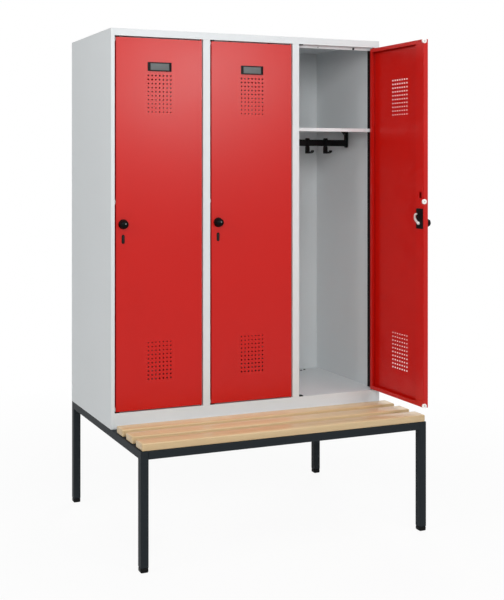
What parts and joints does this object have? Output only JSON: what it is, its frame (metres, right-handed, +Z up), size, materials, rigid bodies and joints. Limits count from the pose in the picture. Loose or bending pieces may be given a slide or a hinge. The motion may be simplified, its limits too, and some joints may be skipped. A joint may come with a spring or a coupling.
{
  "type": "clothes locker with bench",
  "caption": "Steel clothes locker with red perforated hinged doors, hat shelves and coat rails, on a tube frame whose front carries a slatted wooden bench.",
  "frame": {"origin": "on the floor, in the middle of the space that the locker takes up with its third door open", "axes": "+X to the right as seen from the front, +Y towards the back, +Z up"},
  "size_m": [1.2, 0.852, 1.955],
  "materials": {
    "grey_paint": "smooth light grey powder coat, semi matt",
    "red_paint": "smooth fire red powder coat, satin",
    "frame_paint": "anthracite powder coat, semi matt",
    "beech": "varnished beech, planed with rounded edges",
    "black_plastic": "moulded black plastic",
    "white_rubber": "soft white buffer",
    "zinc": "bright zinc plated steel"
  },
  "bodies": {
    "locker": {"side_panel_left": "grey_paint", "side_panel_right": "grey_paint", "top_panel": "grey_paint", "floor_panel": "grey_paint", "back_panel": "grey_paint", "divider_1": "grey_paint", "divider_2": "grey_paint", "hat_shelf_1": "grey_paint", "coat_rail_1": "black_plastic", "hat_shelf_2": "grey_paint", "coat_rail_2": "black_plastic", "hat_shelf_3": "grey_paint", "coat_rail_3": "black_plastic", "end_frame_left": "frame_paint", "end_frame_right": "frame_paint", "front_rail": "frame_paint", "rear_rail": "frame_paint", "foot_front_left": "black_plastic", "foot_rear_left": "black_plastic", "foot_front_right": "black_plastic", "foot_rear_right": "black_plastic", "bench_slat_front": "beech", "bench_slat_middle": "beech", "bench_slat_rear": "beech"},
    "coat_hook_1_1": {"coat_hook_1_1": "black_plastic"},
    "coat_hook_1_2": {"coat_hook_1_2": "black_plastic"},
    "coat_hook_1_3": {"coat_hook_1_3": "black_plastic"},
    "door_1": {"door_1_panel": "red_paint", "door_1_lock_stiffener": "red_paint", "door_1_label_holder": "black_plastic", "door_1_lock_case": "black_plastic", "door_1_buffer_top": "white_rubber", "door_1_buffer_middle": "white_rubber", "door_1_buffer_bottom": "white_rubber"},
    "door_1_turn": {"door_1_knob": "black_plastic", "door_1_cam": "zinc"},
    "coat_hook_2_1": {"coat_hook_2_1": "black_plastic"},
    "coat_hook_2_2": {"coat_hook_2_2": "black_plastic"},
    "coat_hook_2_3": {"coat_hook_2_3": "black_plastic"},
    "door_2": {"door_2_panel": "red_paint", "door_2_lock_stiffener": "red_paint", "door_2_label_holder": "black_plastic", "door_2_lock_case": "black_plastic", "door_2_buffer_top": "white_rubber", "door_2_buffer_middle": "white_rubber", "door_2_buffer_bottom": "white_rubber"},
    "door_2_turn": {"door_2_knob": "black_plastic", "door_2_cam": "zinc"},
    "coat_hook_3_1": {"coat_hook_3_1": "black_plastic"},
    "coat_hook_3_2": {"coat_hook_3_2": "black_plastic"},
    "coat_hook_3_3": {"coat_hook_3_3": "black_plastic"},
    "door_3": {"door_3_panel": "red_paint", "door_3_lock_stiffener": "red_paint", "door_3_label_holder": "black_plastic", "door_3_lock_case": "black_plastic", "door_3_buffer_top": "white_rubber", "door_3_buffer_middle": "white_rubber", "door_3_buffer_bottom": "white_rubber"},
    "door_3_turn": {"door_3_knob": "black_plastic", "door_3_cam": "zinc"}
  },
  "joints": [
    {"name": "coat_hook_1_1_slide", "type": "slide", "parent": "locker", "child": "coat_hook_1_1", "axis": [1, 0, 0], "range_m": [-0.062, 0.036]},
    {"name": "coat_hook_1_2_slide", "type": "slide", "parent": "locker", "child": "coat_hook_1_2", "axis": [1, 0, 0], "range_m": [-0.036, 0.036]},
    {"name": "coat_hook_1_3_slide", "type": "slide", "parent": "locker", "child": "coat_hook_1_3", "axis": [1, 0, 0], "range_m": [-0.036, 0.087]},
    {"name": "door_1_hinge", "type": "hinge", "parent": "locker", "child": "door_1", "pos_m": [-0.224, -0.0695, 1.2069], "axis": [0, 0, 1], "range_deg": [0, 110]},
    {"name": "door_1_knob_turn", "type": "hinge", "parent": "door_1", "child": "door_1_turn", "pos_m": [-0.5505, -0.074, 1.2069], "axis": [0, -1, 0], "range_deg": [0, 90]},
    {"name": "coat_hook_2_1_slide", "type": "slide", "parent": "locker", "child": "coat_hook_2_1", "axis": [1, 0, 0], "range_m": [-0.062, 0.036]},
    {"name": "coat_hook_2_2_slide", "type": "slide", "parent": "locker", "child": "coat_hook_2_2", "axis": [1, 0, 0], "range_m": [-0.036, 0.036]},
    {"name": "coat_hook_2_3_slide", "type": "slide", "parent": "locker", "child": "coat_hook_2_3", "axis": [1, 0, 0], "range_m": [-0.036, 0.087]},
    {"name": "door_2_hinge", "type": "hinge", "parent": "locker", "child": "door_2", "pos_m": [0.176, -0.0695, 1.2069], "axis": [0, 0, 1], "range_deg": [0, 110]},
    {"name": "door_2_knob_turn", "type": "hinge", "parent": "door_2", "child": "door_2_turn", "pos_m": [-0.1505, -0.074, 1.2069], "axis": [0, -1, 0], "range_deg": [0, 90]},
    {"name": "coat_hook_3_1_slide", "type": "slide", "parent": "locker", "child": "coat_hook_3_1", "axis": [1, 0, 0], "range_m": [-0.062, 0.036]},
    {"name": "coat_hook_3_2_slide", "type": "slide", "parent": "locker", "child": "coat_hook_3_2", "axis": [1, 0, 0], "range_m": [-0.036, 0.036]},
    {"name": "coat_hook_3_3_slide", "type": "slide", "parent": "locker", "child": "coat_hook_3_3", "axis": [1, 0, 0], "range_m": [-0.036, 0.087]},
    {"name": "door_3_hinge", "type": "hinge", "parent": "locker", "child": "door_3", "pos_m": [0.576, -0.0695, 1.2069], "axis": [0, 0, 1], "range_deg": [-90, 20]},
    {"name": "door_3_knob_turn", "type": "hinge", "parent": "door_3", "child": "door_3_turn", "pos_m": [0.5805, -0.396, 1.2069], "axis": [1, 0, 0], "range_deg": [0, 90]}
  ]
}
